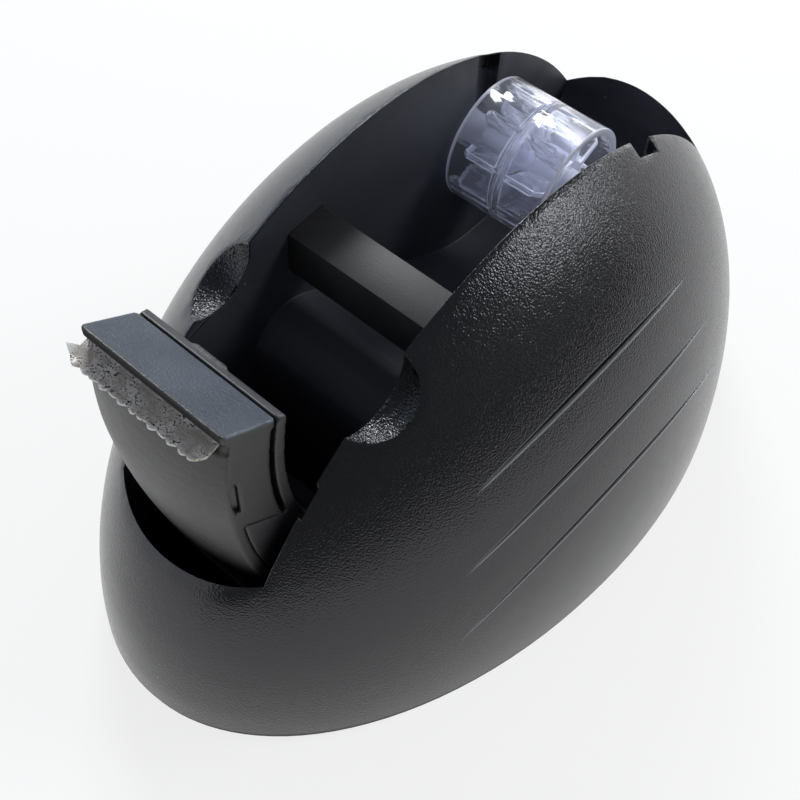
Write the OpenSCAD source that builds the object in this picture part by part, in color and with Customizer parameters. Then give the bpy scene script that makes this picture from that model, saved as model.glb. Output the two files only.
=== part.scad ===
// Egg-shaped desktop tape dispenser with a lift-out hub for tape on 1-inch cores.
// Millimetres. +Z is up, -Y is the cutter end, +Y the rear and X the width.
// The origin is on the table, below the middle of the dispenser's length and width.

/* [Egg] */
// Distance from the widest section to the front tip of the egg
front_len = 83.1; // [78:0.1:95]
// Distance from the widest section to the rear tip of the egg
rear_len = 78.2; // [76:0.1:90]
// Full width of the egg at its base
egg_w = 99.8; // [96:0.1:120]
// Height of the egg's crown before the well is cut out of it
egg_h = 84.7; // [82:0.1:92]
// Wall of the shell and of the well
wall = 2.4; // [2:0.1:3]

/* [Well] */
// Width between the well's side walls
well_w = 33.2; // [32.5:0.1:35]
// Distance of the front lip's middle from the origin
lip_y = 70.4; // [69:0.1:71]
// Radius of the front lip, seen from above
lip_r = 24.7; // [20:0.1:35]
// Height of the front cavity's floor
cavity_z = 12; // [9:0.1:16]
// Radius of the cross hump's round top
hump_r = 8.8; // [6:0.1:10]
// Distance of the hump's centre in front of the origin
hump_y = 24.2; // [22:0.1:26]
// Height of the hump's centre
hump_z = 42; // [36:0.1:44]
// Radius of the bowl round the axle, which takes the tape roll
bowl_r = 27.3; // [24:0.1:28.5]
// Length of the level stretch at the bottom of the bowl
bowl_flat = 2.3; // [0.5:0.1:4]

/* [Axle and hub] */
// Distance of the axle behind the origin
axle_y = 30.75; // [28:0.05:32]
// Height of the axle
axle_z = 54.5; // [53:0.1:58]
// Diameter of the axle
axle_d = 6.3; // [5:0.1:7]
// Depth of the axle slots in the well's walls
slot_depth = 2.6; // [1.5:0.1:3.5]
// Radial clearance of the axle in its slots and in the hub
axle_fit = 0.08; // [0.03:0.01:0.1]
// Clearance at each end of the axle
end_gap = 0.3; // [0.2:0.05:0.6]
// Outer diameter of the hub, for a 1-inch core
hub_d = 25.4; // [24:0.1:26]
// Length of the hub over its two halves
hub_l = 21.6; // [16:0.1:24]
// Distance that the hub has slid to the left of the middle
hub_shift = 4.4; // [0:0.1:5.2]
// Wall of the hub's tube
hub_wall = 1.5; // [1:0.1:2]
// Thickness of the web at the inner end of each hub half
web_t = 1.2; // [0.8:0.1:2]
// Outer diameter of the hub's boss
boss_d = 9.6; // [8.8:0.1:12]
// Number of fins in each hub half
fin_count = 8; // [4:1:10]
// Thickness of a fin
fin_t = 1; // [0.8:0.1:1.4]
// Distance of the fins from the hub's open ends
fin_back = 2.4; // [1:0.1:5]

/* [Thumb scoops] */
// Radius of the ball that each scoop follows
scoop_r = 8.6; // [6:0.1:10]
// Distance of the balls' centres from the middle plane
scoop_x = 18.2; // [17:0.1:20]
// Distance of the balls' centres in front of the origin
scoop_y = 39.9; // [38:0.1:42]
// Height of the balls' centres
scoop_z = 70.7; // [69:0.1:73]

/* [Side grooves] */
// Depth of the grooves below the egg's skin
groove_d = 0.6; // [0.3:0.1:1]
// Width of a groove at its middle
groove_w = 1.1; // [0.6:0.1:1.6]

/* [Tape bar] */
// Distance of the bar's front face in front of the origin
bar_y = 22.6; // [21:0.1:24]
// Thickness of the bar from front to rear
bar_t = 8.3; // [6:0.1:9]
// Height of the bar's underside
bar_z = 58; // [56:0.1:59]
// Height of the bar's front edge over its underside
bar_h = 9.2; // [7:0.1:10]
// Rise of the bar's top from front to rear
bar_rise = 0.7; // [0.2:0.1:1.5]
// Depth of the wall pockets that hold the bar's ends
bar_seat = 1.2; // [0.8:0.1:1.4]

/* [Cutter head] */
// Width of the head
head_w = 29; // [26:0.1:30]
// Height of the head's top front edge
head_z = 84.3; // [83:0.1:86]
// Distance of the head's top front edge in front of the origin
head_y = 66; // [65.5:0.1:66.5]
// Fall of the head's top towards the rear, in degrees
top_fall = 30.3; // [24:0.1:34]
// Height of the top plate's front edge
top_t = 1.95; // [1.6:0.05:2.3]
// Wall of the front cover
head_t = 1.8; // [1.4:0.1:2.1]
// Distance of the front face's foremost point in front of the origin
face_y = 69.2; // [68.5:0.1:69.6]
// Height of the front face's foremost point
face_z = 66; // [62:0.1:68]
// Radius of the front face, seen from the side
face_r = 88; // [80:1:110]
// Radius of the front face, seen from above
face_plan_r = 40; // [34:1:60]
// Height of the foot that the front cover stands on
foot_z = 28; // [24:0.1:30]
// Thickness of the rear plate
back_t = 2; // [1.8:0.1:2.4]
// Gap between the front cover's cheeks and the rear plate
back_gap = 1; // [0.5:0.1:1.2]
// Gap between the top plate and the rear plate
top_gap = 0.35; // [0.25:0.05:0.5]
// Radius of the head's corners
corner_r = 1; // [0.4:0.1:1.6]
// Radius of the rear plate's hollow back
back_r = 54.2; // [50:0.1:60]
// Depth of the wall grooves that hold the head's tongues
tongue_depth = 0.6; // [0.4:0.1:1.4]

/* [Blade] */
// Length of the blade across the head
blade_w = 27; // [24:0.1:29]
// Distance of the blade's middle to the left of the head's middle
blade_shift = 0.9; // [0:0.1:1]
// Thickness of the blade
blade_t = 0.6; // [0.4:0.05:0.8]
// Reach of the blade from its bend to the tips of its teeth
blade_reach = 4.4; // [4:0.1:5]
// Fall of the blade towards its teeth, in degrees
blade_fall = 22; // [15:1:30]
// Distance between two teeth
tooth_pitch = 1.7; // [1.2:0.1:2.4]
// Depth of a tooth
tooth_h = 1.1; // [0.6:0.1:1.4]

/* [Base] */
// Height that the rubber feet stand proud of the base plate
foot_proud = 0.8; // [0.5:0.1:1.5]
// Thickness of the base plate's visible edge
plate_t = 1.6; // [1.2:0.1:2.4]
// Shadow gap between the base plate and the shell
reveal = 0.5; // [0.3:0.1:1]
// Distance of the base plate's edge inside the egg's outline
plate_inset = 0.5; // [0.2:0.1:1]
// Diameter of a rubber foot
foot_d = 12; // [8:0.5:14]
// Height of the plate's spigot, which reaches up into the shell
spigot_h = 3; // [2:0.1:4]
// Size of the steel ballast block
ballast = [44, 66, 9]; // [3:1:70]
// Height of the frame round the ballast block
frame_h = 4; // [2:0.1:8]
// Length of the screws that hold the base plate
base_screw_l = 14; // [12:0.5:15]
// Length of the screws in the head's foot
head_screw_l = 13; // [10:0.5:14]

/* [Hidden] */

egg_fn = 96;
round_fn = 48;
gap = 0.15;                                     // clearance between fixed pieces
far = 200;                                      // reach of cuts that leave the part
eps = 0.05;                                     // overlap of a cut past a flat face

widest_y = (front_len - rear_len) / 2;          // the egg's widest section
half_well = well_w / 2;
slot_w = axle_d + 2 * axle_fit;
shell_z = foot_proud + plate_t + reveal;        // the shell's lower edge
hump_c = [-hump_y, hump_z];
axle_c = [axle_y, axle_z];
span = axle_c - hump_c;
// Slope of the ramp that touches both the hump and the bowl
ramp_a = asin((hump_r + bowl_r) / norm(span)) - atan2(span[1], span[0]);

// Side grooves: front end, rear end and rise over the chord, as [y, z] in side view
grooves = [[[-33.3, 50.8], [26.1, 56.0], 4.8],
           [[-38.9, 36.2], [31.5, 42.9], 7.2],
           [[-42.5, 19.5], [35.2, 28.1], 11.0]];

back_c = [-0.94, 66.6];                         // centre of the rear plate's curve
back_foot_z = 36;                               // below it the rear plate is straight
back_foot_y = back_c[0] - sqrt(pow(back_r, 2) - pow(back_c[1] - back_foot_z, 2));
back_top_z = head_z - 12 * tan(top_fall);       // the rear plate's top rear edge
back_top_y = back_c[0] - sqrt(pow(back_r, 2) - pow(back_top_z - back_c[1], 2));
ridges = [[-4.4, 4.3], [0.5, 1.7]];             // start and length of the ridges on that edge
cover_r = back_r + back_t + back_gap;           // rear edge of the front cover's cheeks
plate_r = back_r + back_t + top_gap;            // rear edge of its top plate
plate_z = head_z - 9 * tan(top_fall);
plate_y = back_c[0] - sqrt(pow(plate_r, 2) - pow(plate_z - back_c[1], 2));
seam = [[-57.3, 53.9], [-63.2, 58.4]];          // lower edge of the cover's cheeks
seam_a = atan2(seam[1][1] - seam[0][1], seam[0][0] - seam[1][0]);
bend = [-head_y + 0.6, head_z - top_t - 0.6 * tan(top_fall)];   // the blade's bend
clamp_l = 6;                                    // the blade's flange under the top plate
clamp_w = head_w - 2 * head_t - 2 * gap - 0.3;
peg_r = 1;
peg_x = 7;
tooth_count = floor((blade_w - 2) / tooth_pitch);

// Corners of the cheeks' windows, from the front face's foremost point
window = [[3.3, 0.8], [3.3, 5.2], [4.2, 6], [4.7, 4.5], [4.7, -2.6], [3.8, -1.8]];
tongue_y = [-55, -51.8];                        // front and rear of the head's tongues
tongue_top = 46;
foot_y0 = -62;                                  // front of the head's foot
foot_w = well_w - 0.6;

screw_r = 1.4;                                  // screw shank
base_screw_head = [2.7, 1.4];                   // radius and height of the screws' heads
head_screw_head = [2.8, 1.6];
head_screw_at = [[-8, -54], [8, -54]];
base_screw_at = [[-33, -27], [33, -27], [-33, 31], [33, 31]];
boss_r = 4;
foot_at = [[-27, -44], [27, -44], [-29, 42], [29, 42]];
ballast_y = 12.5;

shell_color = [0.10, 0.10, 0.105];
cover_color = [0.12, 0.12, 0.13];
clear_color = [0.78, 0.80, 0.92, 0.45];
steel_color = [0.50, 0.49, 0.46];

// Points of an arc about c, from angle a0 to a1
function arc(c, r, a0, a1, n) = [for (i = [0:n]) let (a = a0 + (a1 - a0) * i / n) c + r * [cos(a), sin(a)]];

// Centre and radius of the circle through p and q that rises s over their chord
function bow_r(p, q, s) = (pow(norm(q - p) / 2, 2) + s * s) / (2 * s);
function bow_c(p, q, s) = (p + q) / 2 + (s - bow_r(p, q, s)) * [p[1] - q[1], q[0] - p[0]] / norm(q - p);

// Extrudes a side view, drawn as [y, z], over the width w about the middle plane
module across(w, x = 0) {
    translate([x - w / 2, 0, 0]) rotate([90, 0, 90]) linear_extrude(w) children();
}

module both_sides() {
    children();
    mirror([1, 0, 0]) children();
}

// The egg, drawn in by inset: two half ellipsoids that share the widest section
module egg(inset = 0) {
    for (half = [[-1, front_len], [1, rear_len]]) translate([0, widest_y, 0])
        scale([egg_w / 2 - inset, half[1] - inset, egg_h - inset]) difference() {
            sphere(1, $fn = egg_fn);
            translate([-2, half[0] > 0 ? -4 : 0, -2]) cube([4, 4, 4]);
        }
}

// A slab with the egg's outline on the table, drawn in by inset
module egg_slab(z, t, inset) {
    for (half = [[-1, front_len], [1, rear_len]]) translate([0, widest_y, z])
        scale([egg_w / 2 - inset, half[1] - inset, 1]) difference() {
            cylinder(h = t, r = 1, $fn = egg_fn);
            translate([-2, half[0] > 0 ? -4 : 0, -1]) cube([4, 4, t + 2]);
        }
}

// Side view of the well: front cavity, hump, ramp and bowl; grow gives the wall's far side
function well_side(grow) = concat(
    [[-far / 2, far], [-far / 2, cavity_z - grow], [hump_c[0] - hump_r + grow, cavity_z - grow]],
    arc(hump_c, hump_r - grow, 180, 90 - ramp_a, 14),
    arc(axle_c, bowl_r + grow, 270 - ramp_a, 270, 6),
    arc(axle_c + [bowl_flat, 0], bowl_r + grow, 270, 360, 20),
    [[axle_y + bowl_flat + bowl_r + grow, far]]);

module well_plan(grow) {
    lip_c = lip_r - lip_y;
    translate([-half_well - grow, lip_c]) square([well_w + 2 * grow, far]);
    intersection() {
        translate([0, lip_c]) circle(lip_r + grow, $fn = egg_fn);
        translate([-half_well - grow, -far / 2]) square([well_w + 2 * grow, far / 2 + lip_c + 1]);
    }
}

module well(grow = 0) {
    intersection() {
        across(well_w + 2 * grow) polygon(well_side(grow));
        translate([0, 0, -1]) linear_extrude(far + 2) well_plan(grow);
    }
}

// The open slots that the axle drops into, with a round seat at the bottom
module axle_slots(grow = 0) {
    w = slot_w + 2 * grow;
    depth = well_w + 2 * (slot_depth + grow);
    translate([-depth / 2, axle_y - w / 2, axle_z]) cube([depth, w, far]);
    translate([-depth / 2, axle_y, axle_z]) rotate([0, 90, 0]) cylinder(h = depth, d = w, $fn = round_fn);
}

module thumb_scoops(grow = 0) {
    both_sides() translate([scoop_x, -scoop_y, scoop_z]) sphere(scoop_r + grow, $fn = round_fn);
}

// Grooves in the well's walls that hold the head's tongues
module tongue_grooves(grow = 0) {
    w = well_w + 2 * (tongue_depth + grow);
    translate([-w / 2, tongue_y[0] - 0.5 - grow, cavity_z - grow])
        cube([w, tongue_y[1] - tongue_y[0] + 1 + 2 * grow, far]);
}

// Pointed grooves on the flanks, each between two arcs that meet at its ends
module side_grooves() {
    difference() {
        both_sides() for (g = grooves) across(40, 45) difference() {
            high = g[2] + groove_w / 2;
            low = g[2] - groove_w / 2;
            translate(bow_c(g[0], g[1], high)) circle(bow_r(g[0], g[1], high), $fn = 2 * egg_fn);
            translate(bow_c(g[0], g[1], low)) circle(bow_r(g[0], g[1], low), $fn = 2 * egg_fn);
        }
        egg(groove_d);
    }
}

// The hollow under the well, which leaves the walls, pads and screw bosses standing
module under_hollow() {
    difference() {
        egg(wall);
        well(wall);
        axle_slots(wall);
        thumb_scoops(wall);
        tongue_grooves(wall);
        for (p = base_screw_at) translate([p[0], p[1], 0]) cylinder(h = egg_h, r = boss_r, $fn = round_fn);
    }
}

module screw_holes(places, z, depth, r) {
    for (p = places) translate([p[0], p[1], z]) cylinder(h = depth, r = r, $fn = 24);
}

module body_shell() color(shell_color) {
    difference() {
        intersection() {
            egg();
            translate([-far / 2, -far / 2, shell_z]) cube(far);
        }
        under_hollow();
        well();
        axle_slots();
        thumb_scoops();
        tongue_grooves();
        side_grooves();
        across(well_w + 2 * bar_seat) bar_outline(gap);
        screw_holes(base_screw_at, shell_z - 1, base_screw_l + 1, screw_r + eps);
        screw_holes(head_screw_at, cavity_z - wall - 1, wall + 2, screw_r + 2 * gap);
    }
}

// Side view of the tape bar, grown by g
module bar_outline(g = 0) {
    polygon([[-bar_y - g, bar_z - g], [-bar_y + bar_t + g, bar_z - g],
             [-bar_y + bar_t + g, bar_z + bar_h + bar_rise + g], [-bar_y - g, bar_z + bar_h + g]]);
}

// The bar is a channel, open below, with closed ends in the walls' pockets
module tape_bar() color(cover_color) {
    bar_wall = 1.8;
    difference() {
        across(well_w + 2 * (bar_seat - gap)) bar_outline();
        translate([-half_well + bar_wall, -bar_y + bar_wall, bar_z - 1])
            cube([well_w - 2 * bar_wall, bar_t - 2 * bar_wall, bar_h - bar_wall + 1]);
    }
}

// Space behind the head's front face, which bulges forward both in side view and in plan
module behind_face(inset = 0) {
    reach = 45;
    a = asin(reach / face_r);
    translate([0, face_plan_r - face_y, 0]) rotate_extrude($fn = 2 * egg_fn)
        polygon(concat(arc([face_plan_r - face_r, face_z], face_r - inset, -a, a, 36),
                       [[0, face_z + reach], [0, face_z - reach]]));
}

// Side view of everything below the sloping top, lowered by drop
module below_top(drop = 0) {
    translate([-head_y, head_z - drop]) rotate(-top_fall) translate([-far / 4, -far]) square([far, far]);
}

// Side view of everything below the blade, lowered by drop
module below_blade(drop = 0) {
    translate([bend[0], bend[1] - drop]) rotate(blade_fall) translate([-far / 2, -far]) square([far, far]);
}

// Side view of everything below the cheeks' seam, lowered by drop
module below_seam(drop = 0) {
    translate([seam[0][0], seam[0][1] - drop]) rotate(-seam_a) translate([-far / 2, -far]) square([far, far]);
}

// Side view of the front cover: the top plate overhangs the blade at the front
module cover_side() {
    difference() {
        intersection() {
            translate([-face_y - 2, foot_z]) square([face_y, head_z]);
            below_top();
            union() {
                below_blade(blade_t + 2 * gap);
                translate([-head_y, 0]) square([far, far]);
            }
        }
        translate(back_c) circle(cover_r, $fn = 2 * egg_fn);
    }
}

// The top plate: full width, rounded corners, and its rear edge close to the rear plate
module top_plate() {
    intersection() {
        across(head_w) difference() {
            intersection() {
                translate([-head_y, 0]) square([head_y / 2, far]);
                below_top();
            }
            below_top(top_t);
            translate(back_c) circle(plate_r, $fn = 2 * egg_fn);
        }
        linear_extrude(far) for (x = [-1, 1], y = [-head_y + corner_r, plate_y - corner_r]) {
            translate([x * (head_w / 2 - corner_r), y]) circle(corner_r, $fn = round_fn);
            translate([-head_w / 2, corner_r - head_y]) square([head_w, head_y + plate_y - 2 * corner_r]);
            translate([corner_r - head_w / 2, -head_y]) square([head_w - 2 * corner_r, head_y + plate_y]);
        }
    }
}

// The blade's flange under the top plate, grown by g at its edges and below
module clamp_flange(g = 0) {
    translate([0, bend[0], bend[1]]) rotate([-top_fall, 0, 0])
        translate([-clamp_w / 2 - g, 0, -blade_t - g]) cube([clamp_w + 2 * g, clamp_l + g, blade_t + g]);
}

module blade_pegs(r, l) {
    both_sides() translate([peg_x, -head_y, head_z]) rotate([-top_fall, 0, 0])
        translate([0, clamp_l / 2 + 1, -l]) cylinder(h = l - top_t / 2, r = r, $fn = 24);
}

module head_front() color(cover_color) {
    difference() {
        intersection() {
            across(head_w) cover_side();
            behind_face();
        }
        // inside of the cover
        intersection() {
            across(head_w - 2 * head_t) below_top(top_t);
            behind_face(head_t);
        }
        // below the seam only the front wall goes on
        intersection() {
            across(head_w + 2) below_seam();
            behind_face(head_t);
        }
        // slot that the blade comes out of
        across(head_w + 2) difference() {
            translate([-face_y - 3, bend[1] - 4]) square([face_y + 3 + bend[0] + blade_t, 4 + top_t / 2]);
            below_blade(blade_t + 2 * gap);
            translate([-far, bend[1] + 0.6 * tan(top_fall)]) square([far, far]);
        }
        clamp_flange(gap);
        // windows in the cheeks, just behind the front face
        both_sides() across(head_t + 2, head_w / 2) translate([-face_y, face_z]) polygon(window);
    }
    top_plate();
    intersection() {
        blade_pegs(peg_r, top_t + blade_t + 0.8);
        behind_face(head_t);
    }
}

module head_back() color(cover_color) {
    // curved rear plate with rounded top corners, straight below the shell's rim
    intersection() {
        across(head_w) intersection() {
            difference() {
                translate(back_c) circle(back_r + back_t, $fn = 2 * egg_fn);
                translate(back_c) circle(back_r, $fn = 2 * egg_fn);
            }
            translate([-face_y, back_foot_z - eps]) square([face_y + back_c[0] - 30, head_z]);
            below_top();
        }
        rotate([90, 0, 0]) linear_extrude(far) both_sides() {
            translate([head_w / 2 - corner_r, back_top_z]) circle(corner_r, $fn = round_fn);
            square([head_w / 2, back_top_z]);
            square([head_w / 2 - corner_r, head_z]);
        }
    }
    across(head_w) translate([back_foot_y - back_t - 0.3, foot_z - 1])
        square([back_t + 0.3, back_foot_z - foot_z + 1]);
    // lower cheeks, which carry on below the cover's seam
    intersection() {
        both_sides() across(head_t, (head_w - head_t) / 2) difference() {
            intersection() {
                translate([-face_y, foot_z - 1]) square([face_y + back_foot_y, head_z]);
                below_seam(gap);
            }
            translate(back_c) circle(back_r + eps, $fn = 2 * egg_fn);
        }
        behind_face(head_t + gap);
    }
    // ridges on the rear plate's top rear edge
    for (r = ridges) translate([r[0], back_top_y, back_top_z]) rotate([-top_fall, 0, 0])
        translate([0, -0.4, -0.7]) cube([r[1], 0.9, 0.9]);
    // foot in the front cavity, hollow from below, with two screw posts
    difference() {
        union() {
            translate([-foot_w / 2, foot_y0, cavity_z])
                cube([foot_w, back_foot_y - foot_y0, foot_z - cavity_z]);
            both_sides() translate([head_w / 2, tongue_y[0], cavity_z])
                cube([half_well + tongue_depth - 2 * gap - head_w / 2,
                      tongue_y[1] - tongue_y[0], tongue_top - cavity_z]);
        }
        difference() {
            translate([-foot_w / 2 + 2, foot_y0 + 2, cavity_z - 1])
                cube([foot_w - 4, back_foot_y - foot_y0 - 4, foot_z - cavity_z - 1]);
            screw_holes(head_screw_at, cavity_z - 2, foot_z, 3.2);
        }
        screw_holes(head_screw_at, cavity_z - 1, head_screw_l - 1, screw_r + eps);
    }
}

// Toothed strip, with its corners cut back at both ends
module blade() color(steel_color) {
    half = blade_w / 2;
    row = tooth_count * tooth_pitch / 2;
    root = blade_reach - tooth_h;
    end_cut = 0.8;
    teeth = [for (i = [0:tooth_count - 1]) each [[-row + i * tooth_pitch, -root],
                                                 [-row + (i + 0.5) * tooth_pitch, -blade_reach]]];
    translate([-blade_shift, bend[0], bend[1]]) rotate([blade_fall, 0, 0])
        translate([0, 0, -blade_t]) linear_extrude(blade_t)
            polygon(concat([[-half, 0], [-half, end_cut - root]], teeth,
                           [[row, -root], [half, end_cut - root], [half, 0]]));
    difference() {
        clamp_flange();
        blade_pegs(peg_r + gap, top_t + blade_t + 2);
    }
}

// One half of the hub, from its web at x = 0 to its open end; its axis is X
module hub_half() {
    half = hub_l / 2;
    bore_r = hub_d / 2 - hub_wall;
    rotate([0, 90, 0]) difference() {
        union() {
            difference() {
                cylinder(h = half, d = hub_d, $fn = egg_fn);
                translate([0, 0, -1]) cylinder(h = half + 2, r = bore_r, $fn = egg_fn);
            }
            translate([0, 0, 0.2]) cylinder(h = web_t, r = bore_r + 0.5, $fn = egg_fn);
            translate([0, 0, 0.2]) cylinder(h = half - fin_back - 0.2, d = boss_d, $fn = round_fn);
            for (i = [0:fin_count - 1]) rotate([0, 0, (i + 0.5) * 360 / fin_count])
                translate([0, fin_t / 2, 0]) rotate([90, 0, 0]) linear_extrude(fin_t)
                    polygon([[boss_d / 2 - 0.5, 0.4], [bore_r + 0.5, 0.4],
                             [bore_r + 0.5, half - fin_back - 1.5], [bore_r - 1, half - fin_back],
                             [boss_d / 2 - 0.5, half - fin_back]]);
        }
        translate([0, 0, -1]) cylinder(h = half + 2, d = axle_d + 2 * axle_fit, $fn = round_fn);
    }
}

module hub_left() color(clear_color) {
    translate([-hub_shift, axle_y, axle_z]) mirror([1, 0, 0]) hub_half();
}

module hub_right() color(clear_color) {
    translate([-hub_shift, axle_y, axle_z]) hub_half();
}

module axle() color(cover_color) {
    half = half_well + slot_depth - end_gap;
    r = axle_d / 2;
    bevel = 0.5;
    translate([0, axle_y, axle_z]) rotate([0, 90, 0]) rotate_extrude($fn = round_fn)
        polygon([[0, -half], [r - bevel, -half], [r, bevel - half],
                 [r, half - bevel], [r - bevel, half], [0, half]]);
}

// Base plate: visible edge, step that the shell stands on, spigot and ballast frame
module base_plate() color(cover_color) {
    frame = ballast + 2 * [gap, gap, 0];
    difference() {
        union() {
            egg_slab(foot_proud, plate_t, plate_inset);
            egg_slab(foot_proud, plate_t + reveal, wall / 2);
            difference() {
                egg_slab(shell_z - eps, spigot_h, wall + 2 * gap);
                egg_slab(shell_z - 1, spigot_h + 2, wall + 2 * gap + 1.5);
            }
            translate([-frame[0] / 2 - 1.5, ballast_y - frame[1] / 2 - 1.5, shell_z - eps])
                cube([frame[0] + 3, frame[1] + 3, frame_h]);
        }
        translate([-frame[0] / 2, ballast_y - frame[1] / 2, shell_z]) cube([frame[0], frame[1], 10]);
        screw_holes(foot_at, foot_proud - eps, 1 + eps, foot_d / 2 + gap);
        screw_holes(base_screw_at, 0, 10, screw_r + 2 * gap);
        for (p = base_screw_at) translate([p[0], p[1], foot_proud - eps])
            cylinder(h = 1.6, r1 = 3.1, r2 = screw_r + 2 * gap, $fn = 24);
    }
}

module ballast_block() color(steel_color) {
    translate([-ballast[0] / 2, ballast_y - ballast[1] / 2, shell_z]) cube(ballast);
}

// A screw with its head's face at z = 0 and its tip up; sink gives a countersunk head
module screw(l, head, sink) {
    tip = 1.5;
    rotate_extrude($fn = 24)
        polygon(concat([[0, 0], [head[0], 0]], sink ? [] : [head],
                       [[screw_r, head[1]], [screw_r, l - tip], [0, l]]));
}

module base_screws() color(steel_color) {
    for (p = base_screw_at) translate([p[0], p[1], foot_proud + 0.1]) screw(base_screw_l, base_screw_head, true);
}

module head_screws() color(steel_color) {
    for (p = head_screw_at) translate([p[0], p[1], cavity_z - wall - head_screw_head[1]])
        screw(head_screw_l, head_screw_head, false);
}

module rubber_feet() color([0.2, 0.2, 0.2]) {
    for (p = foot_at) translate([p[0], p[1], 0]) cylinder(h = foot_proud + 1, d = foot_d, $fn = round_fn);
}

body_shell();
tape_bar();
head_front();
head_back();
blade();
hub_left();
hub_right();
axle();
base_plate();
ballast_block();
base_screws();
head_screws();
rubber_feet();
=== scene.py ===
from math import cos, pi, radians, sin

import bmesh
import bpy
from mathutils import Matrix, Vector


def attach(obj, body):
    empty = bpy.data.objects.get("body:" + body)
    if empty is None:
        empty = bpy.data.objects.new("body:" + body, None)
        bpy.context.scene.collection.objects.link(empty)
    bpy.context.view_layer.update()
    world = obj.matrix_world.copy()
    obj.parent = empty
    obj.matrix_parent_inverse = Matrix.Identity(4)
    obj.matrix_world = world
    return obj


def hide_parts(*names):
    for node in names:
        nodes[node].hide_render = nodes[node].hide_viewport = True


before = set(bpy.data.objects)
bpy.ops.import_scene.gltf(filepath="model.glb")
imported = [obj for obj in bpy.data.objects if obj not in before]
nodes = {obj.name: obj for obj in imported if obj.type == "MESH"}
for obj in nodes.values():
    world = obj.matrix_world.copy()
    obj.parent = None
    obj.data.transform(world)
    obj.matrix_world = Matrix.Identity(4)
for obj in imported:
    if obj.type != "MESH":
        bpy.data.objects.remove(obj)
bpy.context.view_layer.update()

mm = 0.001
scene = bpy.context.scene
scene.view_settings.view_transform = "Standard"


# Camera. It looks down on the dispenser from the right of its cutter, from about a
# quarter of a metre away, with the slight tilt of a camera held in the hand.
cam_turn, cam_rise, cam_tilt = radians(38.84), radians(54.30), radians(2.94)
cam_place = Vector((88.5, -121.0, 219.6)) * mm
back = Vector((sin(cam_turn) * cos(cam_rise), -cos(cam_turn) * cos(cam_rise), sin(cam_rise)))
sideways = Vector((cos(cam_turn), sin(cam_turn), 0))
upright = back.cross(sideways)
right = sideways * cos(cam_tilt) + upright * sin(cam_tilt)
up = upright * cos(cam_tilt) - sideways * sin(cam_tilt)
lens = bpy.data.cameras.new("camera")
lens.lens = 55.38
lens.sensor_width = 36
lens.clip_start = 0.01
camera = bpy.data.objects.new("camera", lens)
camera.matrix_world = Matrix((right, up, back)).transposed().to_4x4()
camera.matrix_world.translation = cam_place
scene.collection.objects.link(camera)
scene.camera = camera


# Studio. A pale table in a room with pale walls and a dim ceiling, which is plain white to
# the camera itself. The table keeps a faint shadow of the dispenser.
class Wire:
    """A shader socket that adds the Math nodes of a Python expression."""

    def __init__(self, paint, socket):
        self.paint, self.socket = paint, socket

    def math(self, operation, *others):
        return self.paint.node("ShaderNodeMath", {"operation": operation}, self, *others)

    def __add__(self, other):
        return self.math("ADD", other)

    def __mul__(self, other):
        return self.math("MULTIPLY", other)

    def __sub__(self, other):
        return self.math("SUBTRACT", other)

    def __rsub__(self, other):
        return self.paint.node("ShaderNodeMath", {"operation": "SUBTRACT"}, other, self)

    def __truediv__(self, other):
        return self.math("DIVIDE", other)

    __radd__, __rmul__ = __add__, __mul__

    def other(self, index):
        """Another output of the node that this socket belongs to."""
        return Wire(self.paint, self.socket.node.outputs[index])

    def clip(self, low=0.0, high=1.0):
        """0 below low, 1 above high and a smooth step between them."""
        return self.paint.node("ShaderNodeMapRange", {"interpolation_type": "SMOOTHSTEP"},
                               self, low, high, 0.0, 1.0)

    def band(self, low, full, fading, high):
        """1 from full to fading, and 0 below low and above high."""
        return self.clip(low, full) * (1 - self.clip(fading, high))


class Paint:
    """A material's or a world's node tree."""

    def __init__(self, owner):
        owner.use_nodes = True
        self.owner, self.tree = owner, owner.node_tree
        self.tree.nodes.clear()

    def put(self, socket, value):
        if isinstance(value, Wire):
            self.tree.links.new(value.socket, socket)
        elif value is not None:
            socket.default_value = value

    def node(self, kind, settings, *values, out=0, **named):
        item = self.tree.nodes.new(kind)
        for key, value in settings.items():
            setattr(item, key, value)
        for index, value in enumerate(values):
            self.put(item.inputs[index], value)
        for key, value in named.items():
            self.put(item.inputs[key.replace("_", " ")], value)
        return Wire(self, item.outputs[out])

    def surface(self, **named):
        return self.node("ShaderNodeBsdfPrincipled", {}, **named)

    def between(self, factor, first, second):
        return self.node("ShaderNodeMixShader", {}, factor, first, second)

    def finish(self, surface, kind="ShaderNodeOutputMaterial"):
        self.tree.links.new(surface.socket, self.tree.nodes.new(kind).inputs["Surface"])
        return self.owner


def material(name):
    return Paint(bpy.data.materials.new(name))


def mix_color(factor, first, second):
    return factor.paint.node("ShaderNodeMix", {"data_type": "RGBA"}, factor, None, None, None, None, None,
                             first, second, out=2)


def gray(value):
    return (value, value, value, 1.0)


def made(name, build, mat):
    """An object of the scene from a bmesh, in one material."""
    mesh = bpy.data.meshes.new(name)
    build.to_mesh(mesh)
    build.free()
    mesh.materials.append(mat)
    item = bpy.data.objects.new(name, mesh)
    scene.collection.objects.link(item)
    return item


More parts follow.
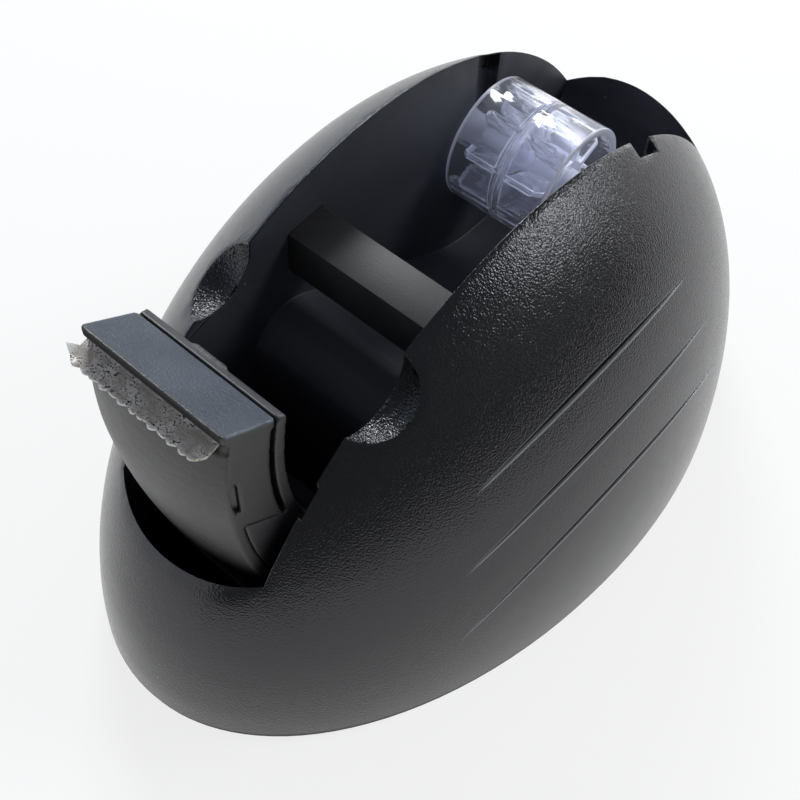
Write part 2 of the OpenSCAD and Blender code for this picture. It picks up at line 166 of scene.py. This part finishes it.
left_wall, right_wall, ceiling = (0.86, 1.02, 1.28, 1), (0.98, 0.98, 1.0, 1), (0.17, 0.18, 0.21, 1)
world = bpy.data.worlds.new("surround")
scene.world = world
sky = Paint(world)
aside = sky.node("ShaderNodeSeparateXYZ", {}, sky.node("ShaderNodeTexCoord", {}))
walls = mix_color(aside.clip(-0.7, 0.1), left_wall, right_wall)
room = mix_color(aside.other(2).clip(0.25, 0.4), walls, ceiling)
seen = sky.node("ShaderNodeLightPath", {})
backdrop = sky.node("ShaderNodeBackground", {}, mix_color(seen, room, gray(1.0)), 1.0)
sky.finish(backdrop, "ShaderNodeOutputWorld")

table_paint = material("table_white")
rays = table_paint.node("ShaderNodeLightPath", {})
direct = (rays + rays.other(3) + rays.other(6)).clip()
table_mat = table_paint.finish(table_paint.between(
    direct * 0.8, table_paint.surface(Base_Color=gray(0.86), Roughness=0.9),
    table_paint.node("ShaderNodeEmission", {}, gray(1.0), 1.0)))
build = bmesh.new()
bmesh.ops.create_grid(build, x_segments=1, y_segments=1, size=3)
table = made("table", build, table_mat)


# Dark card. It stands round the right and the front, is seen only in reflections, and
# keeps gloss off the flank that faces the camera.
card_middle, card_radius, card_height = Vector((0.10, 0.13, 0)), 0.33, 0.17
card_start, card_sweep = radians(35), radians(160)
card_paint = material("card_grey")
card_mat = card_paint.finish(card_paint.surface(Base_Color=gray(0.12), Roughness=1.0))
build = bmesh.new()
foot = build.verts.new(card_middle + card_radius * Vector((sin(card_start), cos(card_start), 0)))
head = build.verts.new(foot.co + Vector((0, 0, card_height)))
bmesh.ops.spin(build, geom=[foot, head, build.edges.new((foot, head))], cent=card_middle, axis=(0, 0, -1),
               angle=card_sweep, steps=32)
card = made("dark_card", build, card_mat)
card.visible_camera = card.visible_diffuse = card.visible_shadow = False


# Lamps. A window of light stands high at the right rear, a lamp high at the left rear and
# a weak one low behind the dispenser. All three face its middle.
def lamp(name, place, size, power):
    light = bpy.data.lights.new(name, "AREA")
    light.shape = "RECTANGLE"
    light.size, light.size_y = size
    light.energy = power
    light.color = lamp_color
    holder = bpy.data.objects.new(name, light)
    holder.rotation_euler = (lamp_aim - Vector(place)).to_track_quat("-Z", "Y").to_euler()
    holder.location = place
    scene.collection.objects.link(holder)


lamp_aim, lamp_color = Vector((0, 0, 0.03)), (0.96, 0.98, 1.0)
lamp("window", (0.50, 0.56, 0.64), (0.34, 0.26), 3.3)
lamp("left_lamp", (-0.60, 0.52, 0.68), (0.36, 0.3), 8)
lamp("rear_lamp", (-0.10, 0.95, 0.30), (0.5, 0.2), 2)


# Body shell. One black ABS moulding: the egg with its tape well, hump, bowl, axle slots,
# thumb scoops and flank grooves. Its outside is spark-eroded to a fine leathery stipple in
# the mould, the well is left smooth and satin, and its rims have a small radius.
egg_half, egg_front, egg_rear, egg_top = 49.9 * mm, 83.1 * mm, 78.2 * mm, 84.7 * mm
egg_middle = 2.45 * mm
well_half = 16.6 * mm
lip_radius, lip_middle = 24.7 * mm, -45.7 * mm
bowl_end = 60.35 * mm
scoop_radius, scoop_middle = 8.6 * mm, Vector((18.2, -39.9, 70.7)) * mm
rim_half, rim_low = 26 * mm, 8 * mm
sharp_angle = radians(32)
groove_half = 0.55
grooves = [                     # front end, rear end and rise of each groove, in millimetres
    (Vector((-33.3, 50.8)), Vector((26.1, 56.0)), 4.8),
    (Vector((-38.9, 36.2)), Vector((31.5, 42.9)), 7.2),
    (Vector((-42.5, 19.5)), Vector((35.2, 28.1)), 11.0)]
groove_start, groove_end = 4 * mm, 5 * mm
low_lip = (-0.4 * mm, -0.25 * mm, 0.02 * mm, 0.08 * mm)
top_lip, top_lip_share = (-0.2 * mm, -0.1 * mm, -0.03 * mm, 0.0), 0.6


def merged(node):
    """A copy of a CAD node's mesh with its loose triangles joined."""
    build = bmesh.new()
    build.from_mesh(nodes[node].data)
    bmesh.ops.remove_doubles(build, verts=build.verts, dist=0.001 * mm)
    for face in build.faces:
        face.smooth = True
    return build


def piece(name, build, mat, body, slot, *replaced):
    item = made(name, build, mat)
    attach(item, body)
    if replaced:
        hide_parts(*replaced)
    return item


def round_edges(item, width, limit="ANGLE"):
    """Rounds the sharp edges of a piece by a small moulding radius."""
    bevel = item.modifiers.new("mould_radius", "BEVEL")
    bevel.width, bevel.segments = width, 2
    bevel.limit_method, bevel.angle_limit = limit, sharp_angle
    bevel.use_clamp_overlap = False
    bevel.harden_normals = True


def position(paint):
    """The Object coordinates of a point of the surface."""
    return paint.node("ShaderNodeTexCoord", {}, out=3)


def axes(spot):
    """x, y and z of a point."""
    x = spot.paint.node("ShaderNodeSeparateXYZ", {}, spot)
    return x, x.other(1), x.other(2)


def noise(spot, scale, detail, rough=0.5):
    return spot.paint.node("ShaderNodeTexNoise", {}, Vector=spot, Scale=scale, Detail=detail, Roughness=rough)


def relief(height, depth):
    """The normal of a surface that this height raises by up to a depth."""
    return height.paint.node("ShaderNodeBump", {}, Height=height, Strength=1.0, Distance=depth)


def length(*parts):
    """Length of the vector that has these parts."""
    total = parts[0] * parts[0]
    for part in parts[1:]:
        total = total + part * part
    return total.math("SQRT")


def specks(spot, scale, size, share):
    """1 inside sparse round specks of a given size, in cells of 1 / scale."""
    cell = spot.paint.node("ShaderNodeTexVoronoi", {}, Vector=spot, Scale=scale)
    lucky = spot.paint.node("ShaderNodeSeparateColor", {}, cell.other(1))
    return (1 - cell.clip(size * scale * 0.5, size * scale)) * lucky.clip(1 - share, 1.001 - share)


def bow(front, rear, rise):
    """Centre and radius of the circle through two points that rises this much over them."""
    chord = rear - front
    size = (chord.length_squared / 4 + rise * rise) / (2 * rise)
    return (front + rear) / 2 + (rise - size) * Vector((-chord.y, chord.x)) / chord.length, size


def groove_masks(across, y, z, level):
    """1 along the painted highlights on the lips of each flank groove, and 1 in the painted shade between
    them.
    """
    lip_highlights = shade = None
    for front, rear, rise in grooves:
        ends = y.band(front.x * mm, front.x * mm + groove_start, rear.x * mm - groove_end, rear.x * mm)
        center, size = bow(front * mm, rear * mm, (rise - groove_half) * mm)
        above = length(y - center.x, z - center.y) - size
        center, size = bow(front * mm, rear * mm, (rise + groove_half) * mm)
        under = size - length(y - center.x, z - center.y)
        lip_highlight = above.band(*low_lip) * ends + under.band(*top_lip) * ends * top_lip_share
        dark = above.clip(-0.06 * mm, -0.01 * mm) * under.clip(0.0, 0.1 * mm) * ends
        lip_highlights, shade = (lip_highlight, dark) if lip_highlights is None else (lip_highlights + lip_highlight, shade + dark)
    flank = across.clip(25 * mm, 27 * mm)
    return lip_highlights * flank, shade * flank * (1 - level.clip(0.991, 0.997))


shell_paint = material("shell_black")
spot = position(shell_paint)
x, y, z = axes(spot)
across = x.math("ABSOLUTE")
ahead, behind = (y - egg_middle).math("MINIMUM", 0.0), (y - egg_middle).math("MAXIMUM", 0.0)
level = length(x / egg_half, ahead / egg_front, behind / egg_rear, z / egg_top)
past_lip = length(x, (y - lip_middle).math("MINIMUM", 0.0)) - lip_radius
outside = (across - well_half).math("MAXIMUM", past_lip.math("MAXIMUM", y - bowl_end))
skin = outside.clip(0.01 * mm, 0.05 * mm) * level.clip(0.955, 0.975)
scoop = length(across - scoop_middle.x, y - scoop_middle.y, z - scoop_middle.z)
in_scoop = 1 - scoop.clip(scoop_radius + 0.02 * mm, scoop_radius + 0.1 * mm)
stippled = skin.math("MAXIMUM", in_scoop)
depth = 0.35 + z.clip(35 * mm, 75 * mm) * 0.28 + in_scoop * 0.6
swirl = noise(spot, 60.0, 3.0)
dust = specks(spot, 300.0, 0.2 * mm, 0.16) * swirl.clip(0.48, 0.58)
# Painted light of the flank grooves: paler lips as painted highlights, and a dead black floor as painted
# shade.
painted_lip_highlight, painted_groove_shade = groove_masks(across, y, z, level)
outer_black = mix_color(swirl, (0.0050, 0.0052, 0.0048, 1), (0.0085, 0.0083, 0.0085, 1))
# Inside the well the black is lighter and bluish: painted light standing in for the well's bluish reflections
# and lifting its shade.
black_with_painted_well_light = mix_color(stippled, (0.032, 0.034, 0.042, 1), outer_black)
# Paler where there are real dust specks and where the groove lips carry their painted highlights.
shell_color = mix_color((dust * 0.7).math("MAXIMUM", painted_lip_highlight * 0.38), black_with_painted_well_light, gray(0.5))
plain = shell_paint.surface(
    Base_Color=shell_color, IOR=1.54, Roughness=0.5 - stippled * 0.33 + swirl * 0.06,
    Normal=relief(noise(spot, 2700.0, 1.0) * stippled * depth, 0.2 * mm), Specular_Tint=(0.95, 0.95, 1.0, 1))
# A dead black, matt shader laid in the grooves' floors as painted shade.
shaded = shell_paint.surface(Base_Color=gray(0.003), Roughness=1.0, Specular_IOR_Level=0.0)
shell_mat = shell_paint.finish(shell_paint.between(painted_groove_shade * 0.9, plain, shaded))
build = merged("body_shell")
rim = build.edges.layers.float.new("bevel_weight_edge")
for edge in build.edges:
    inner = all(abs(corner.co.x) < rim_half and corner.co.z > rim_low for corner in edge.verts)
    sharp = edge.calc_face_angle() > sharp_angle
    edge[rim] = 1.0 if inner and sharp else 0.0
    edge.smooth = inner or not sharp
shell = piece("egg_shell", build, shell_mat, "body", "shell", "body_shell")
round_edges(shell, 0.25 * mm, "WEIGHT")


# Tape bar. A satin black channel pushed down between the well's walls, with its ends in
# their pockets. Its top is lightly scuffed and dusty.
def finish_mat(name, dark, light, rough, grain_scale, grain_depth, dusty=0.0, **named):
    """A finish with clouded colour and gloss, a fine grain and some dust."""
    paint = material(name)
    spot = position(paint)
    cloud = noise(spot, 90.0, 4.0)
    color = mix_color(cloud.clip(0.3, 0.7), (*dark, 1), (*light, 1))
    if dusty:
        color = mix_color(specks(spot, 330.0, 0.15 * mm, dusty) * 0.7, color, gray(0.5))
    grain = relief(noise(spot, grain_scale, 2.0), grain_depth)
    return paint.finish(paint.surface(Base_Color=color, Roughness=rough + cloud * 0.12, Normal=grain, **named))


bar_mat = finish_mat("bar_satin", (0.020, 0.020, 0.020), (0.032, 0.031, 0.030), 0.5, 2200.0, 0.03 * mm, 0.15)
bar = piece("cross_bar", merged("tape_bar"), bar_mat, "body", "bar", "tape_bar")
round_edges(bar, 0.3 * mm)


# Cutter head. Its front cover is the top plate, the bulging front face and the upper
# cheeks in one moulding; the rear plate and foot behind it are a second one. The lip of the
# front face, where it meets the blade, is lower than in the CAD part.
def soften(item, size, passes):
    """Rounds all edges of a thick-walled moulding by remeshing and smoothing it."""
    remesh = item.modifiers.new("moulding", "REMESH")
    remesh.mode, remesh.voxel_size, remesh.use_smooth_shade = "VOXEL", size, True
    smooth = item.modifiers.new("mould_radius", "SMOOTH")
    smooth.factor, smooth.iterations = 0.5, passes


cover_half = 14.5 * mm
top_edge_y, top_edge_z, top_slope = -66 * mm, 84.3 * mm, 0.5844
plate_rear = -56.1 * mm
wall_front, wall_rear, wall_low = -70 * mm, -65 * mm, 70 * mm
seat_y, seat_z, seat_slope = -65.4 * mm, 82.0 * mm, 0.404
wall_top_y, wall_top_slope = -69.4 * mm, 0.1
lip_reach, lip_drop = 2.2 * mm, 1.5 * mm
cover_paint = material("cover_black")
spot = position(cover_paint)
x, y, z = axes(spot)
on_top = (z - top_edge_z + (y - top_edge_y) * top_slope).clip(-0.5 * mm, -0.15 * mm)
cloud = noise(spot, 140.0, 4.0)
cover_grain = relief(noise(spot, 2000.0, 2.0) * (0.3 + on_top * cloud), 0.16 * mm)
face_color = mix_color(cloud, (0.012, 0.012, 0.013, 1), (0.018, 0.018, 0.018, 1))
# The top is coloured bluish as a painted reflection of the bluish light above it; the front face is plain
# black.
top_painted_reflection = mix_color(cloud.clip(0.3, 0.7), (0.010, 0.018, 0.030, 1), (0.020, 0.032, 0.050, 1))
from_side = cover_half - x.math("ABSOLUTE")
border = from_side.math("MINIMUM", (y - top_edge_y).math("MINIMUM", plate_rear - y))
# Paler and bluish along the edges of the top: a painted highlight of its rounded edges.
painted_top_edge_light = on_top * (1 - border.clip(0.15 * mm, 0.5 * mm)) * cloud.clip(0.25, 0.6)
under_lip = (1 - y.clip(-66.0 * mm, -65.8 * mm)) * z.clip(81.6 * mm, 81.9 * mm) * (1 - on_top)
# The front border of the top is coloured dark brown.
brown_front_border = on_top * (1 - (y - top_edge_y).clip(0.5 * mm, 0.8 * mm))
cover_color = mix_color(on_top, face_color, top_painted_reflection)
cover_color = mix_color(painted_top_edge_light * 0.5, cover_color, (0.16, 0.18, 0.21, 1))
cover_color = mix_color(under_lip * 0.8, cover_color, (0.022, 0.016, 0.011, 1))
cover_color = mix_color(brown_front_border * 0.85, cover_color, (0.020, 0.015, 0.011, 1))
cover_mat = cover_paint.finish(cover_paint.surface(
    Base_Color=cover_color, Roughness=0.34 + cloud * 0.14 + under_lip * 0.5, Normal=cover_grain))
build = merged("head_front")
for corner in build.verts:
    wall_top = seat_z - (corner.co.y - wall_top_y) * wall_top_slope
    seat = seat_z + (corner.co.y - seat_y) * seat_slope
    in_wall = wall_front < corner.co.y < wall_rear and wall_low < corner.co.z < wall_top
    if in_wall and abs(corner.co.z - seat) < lip_reach:
        corner.co.z -= lip_drop
cover = piece("head_cover", build, cover_mat, "body", "head_cover", "head_front")
soften(cover, 0.27 * mm, 3)

rear_mat = finish_mat("rear_black", (0.010, 0.010, 0.011), (0.016, 0.016, 0.017), 0.34, 2000.0, 0.04 * mm)
rear = piece("head_rear_plate", merged("head_back"), rear_mat, "body", "head_rear", "head_back")
soften(rear, 0.32 * mm, 1)


# Snap catches. Two small hooks of the rear moulding that sit in the cheeks' windows and
# hold the cover on.
catch_x, catch_y, catch_z = 13.2, -65.1, 67.6
catch_size, catch_lead = (1.4 * mm, 2.6 * mm, 9.8 * mm), 0.7 * mm
for side, hand in ((-1, "left"), (1, "right")):
    place = Matrix.Translation(Vector((side * catch_x, catch_y, catch_z)) * mm)
    build = bmesh.new()
    bmesh.ops.create_cube(build, size=1.0, matrix=place @ Matrix.Diagonal((*catch_size, 1)))
    for corner in build.verts:
        if corner.co.x * side > catch_x * mm and corner.co.y < catch_y * mm:
            corner.co.x -= side * catch_lead
    bmesh.ops.bevel(build, geom=build.edges[:], offset=0.2 * mm, segments=2, profile=0.5,
                    affect="EDGES", material=-1)
    piece("snap_catch_" + hand, build, rear_mat, "body", "head_rear")


# Blade. A bent strip of thin stamped steel, worn dull, with flecks of old adhesive along
# its top. Its teeth are uneven, and a flake of lint sticks out at its left end.
blade_half, blade_middle, blade_thick = 13.5 * mm, -0.9 * mm, 0.5 * mm
bend_y, bend_z, blade_drop = -65.4 * mm, 80.45 * mm, radians(11)
flange, flange_rise, flange_share = 3 * mm, radians(30.3), 0.15
tooth_pitch, tooth_deep, gum = 2.0 * mm, 0.75 * mm, 3.5 * mm
end_width, end_cut, flake = 1.6 * mm, 1.3 * mm, 1.9 * mm
blade_paint = material("blade_steel")
spot = position(blade_paint)
x, y = axes(spot)[:2]
blotch = noise(spot, 2800.0, 3.0, 0.6)
stain = noise(spot, 420.0, 4.0)
# Paler along the teeth as a painted highlight, and at the left end the lint flake's own pale colour.
painted_tip_light_and_lint = 1 - y.clip(-69.5 * mm, -68.9 * mm) * x.clip(-15.2 * mm, -14.0 * mm)
residue = blotch.clip(0.52, 0.62) * stain.clip(0.42, 0.55) * (1 - painted_tip_light_and_lint * 0.8)
metal = mix_color(stain.clip(0.35, 0.65), (0.42, 0.385, 0.33, 1), (0.74, 0.70, 0.64, 1))
metal = mix_color(painted_tip_light_and_lint * 0.85, metal, (0.85, 0.83, 0.79, 1))
blade_mat = blade_paint.finish(blade_paint.surface(
    Base_Color=mix_color(residue, metal, (0.030, 0.027, 0.026, 1)), Metallic=0.1,
    Roughness=0.38 + residue * 0.3, Normal=relief(blotch + stain, 0.12 * mm)))
build = bmesh.new()
bmesh.ops.create_grid(build, x_segments=240, y_segments=30, size=1.0)
for corner in build.verts:
    place, out = corner.co.x * blade_half, 0.5 - corner.co.y / 2
    ends = max(0.0, abs(place) - (blade_half - end_width)) / end_width
    tooth = abs(cos(place / tooth_pitch * pi)) ** 0.7 * (0.75 + 0.25 * sin(place / mm * 1.9))
    tip = gum + tooth_deep * tooth * (1 - ends) - end_cut * ends * ends
    past = out - flange_share
    reach = past / (1 - flange_share) * tip if past > 0 else past / flange_share * flange
    lump = 0.3 * max(0.0, reach - gum + 0.6 * mm) * tooth
    if place < 0:
        place -= flake * ends * ends * max(0.0, 1 - ((out - 1.0) / 0.4) ** 2)
    bend = blade_drop if reach > 0 else -flange_rise
    corner.co = (blade_middle + place, bend_y - reach * cos(bend), bend_z - abs(reach) * sin(bend) + lump)
under = bmesh.ops.extrude_face_region(build, geom=build.faces[:])["geom"]
lowered = [item for item in under if isinstance(item, bmesh.types.BMVert)]
bmesh.ops.translate(build, vec=(0, 0, -blade_thick), verts=lowered)
for face in build.faces:
    face.smooth = True
bmesh.ops.recalc_face_normals(build, faces=build.faces)
piece("toothed_blade", build, blade_mat, "body", "blade_steel", "blade")


# Tape hub. Two clear polystyrene halves pressed together web to web, each with a boss and
# eight fins. Their edges, web and boss get painted highlights and a faint painted glow, and the resin has a
# faint blue cast.
hub_x, hub_y, hub_z = -4.4 * mm, 30.75 * mm, 54.5 * mm
hub_paint = material("hub_clear")
spot = position(hub_paint)
x, y, z = axes(spot)
radius = length(y - hub_y, z - hub_z)
reach = (x - hub_x).math("ABSOLUTE")
inside = 1 - radius.clip(11.0 * mm, 11.1 * mm)
fin_end, fin_rim = reach.clip(7.7 * mm, 8.0 * mm), radius.clip(10.3 * mm, 10.7 * mm)
web, boss = 1 - reach.clip(1.3 * mm, 1.6 * mm), 1 - radius.clip(5.0 * mm, 5.4 * mm)
# Painted highlights: milky white on the fins' ends and roots, the web, the boss and the tube's ends.
fin_painted_light = 0.04 + (fin_end + fin_rim + web * 0.2 + boss).clip() * 0.45
tube_painted_light = 0.05 + reach.clip(10.3 * mm, 10.5 * mm) * 0.5
glass = hub_paint.surface(
    Base_Color=(0.93, 0.94, 1.0, 1), Roughness=0.08 + noise(spot, 160.0, 2.0) * 0.05, IOR=1.5,
    Transmission_Weight=1.0, Specular_IOR_Level=0.25)
see_through = hub_paint.node("ShaderNodeBsdfTransparent", {}, (0.9, 0.91, 0.96, 1))
clear = hub_paint.between(hub_paint.node("ShaderNodeLightPath", {}, out=1), glass, see_through)
# A milky white with a faint emission: painted light in the hub's edges, though the hub is no lamp.
painted_glow_white = hub_paint.surface(
    Base_Color=(0.82, 0.84, 0.92, 1), Roughness=0.3, Emission_Color=(0.8, 0.84, 1.0, 1),
    Emission_Strength=0.035, Specular_IOR_Level=0.3)
painted_edge_light = inside * fin_painted_light + (1 - inside) * tube_painted_light
hub_mat = hub_paint.finish(hub_paint.between(painted_edge_light, clear, painted_glow_white))
for hand in ("left", "right"):
    half = piece("hub_half_" + hand, merged("hub_" + hand), hub_mat, "hub", "clear_plastic", "hub_" + hand)
    round_edges(half, 0.12 * mm)


# Axle. A plain pin of the same clear plastic, loose in the hub and in the wall slots. It
# keeps its CAD mesh, as the pieces of the base do.
def dress(node, mat):
    mesh = nodes[node].data
    mesh.materials.clear()
    mesh.materials.append(mat)


dress("axle", hub_mat)


# Base. A black plate that closes the shell from below, with a zinc-plated weight under
# the well, four countersunk screws, two more in the head's foot, and four rubber pads.
base_mat = finish_mat("base_black", (0.010, 0.010, 0.010), (0.015, 0.015, 0.015), 0.45, 1500.0, 0.05 * mm)
rubber_mat = finish_mat("rubber_grey", (0.030, 0.030, 0.031), (0.045, 0.045, 0.046), 0.75, 1200.0, 0.08 * mm)
weight_mat = finish_mat("weight_zinc", (0.30, 0.30, 0.29), (0.46, 0.46, 0.45), 0.35, 700.0, 0.05 * mm,
                        Metallic=1.0)
screw_mat = finish_mat("screw_zinc", (0.42, 0.42, 0.42), (0.56, 0.56, 0.55), 0.26, 3000.0, 0.02 * mm,
                       Metallic=1.0)
dress("base_plate", base_mat)
dress("rubber_feet", rubber_mat)
dress("ballast_block", weight_mat)
dress("base_screws", screw_mat)
dress("head_screws", screw_mat)
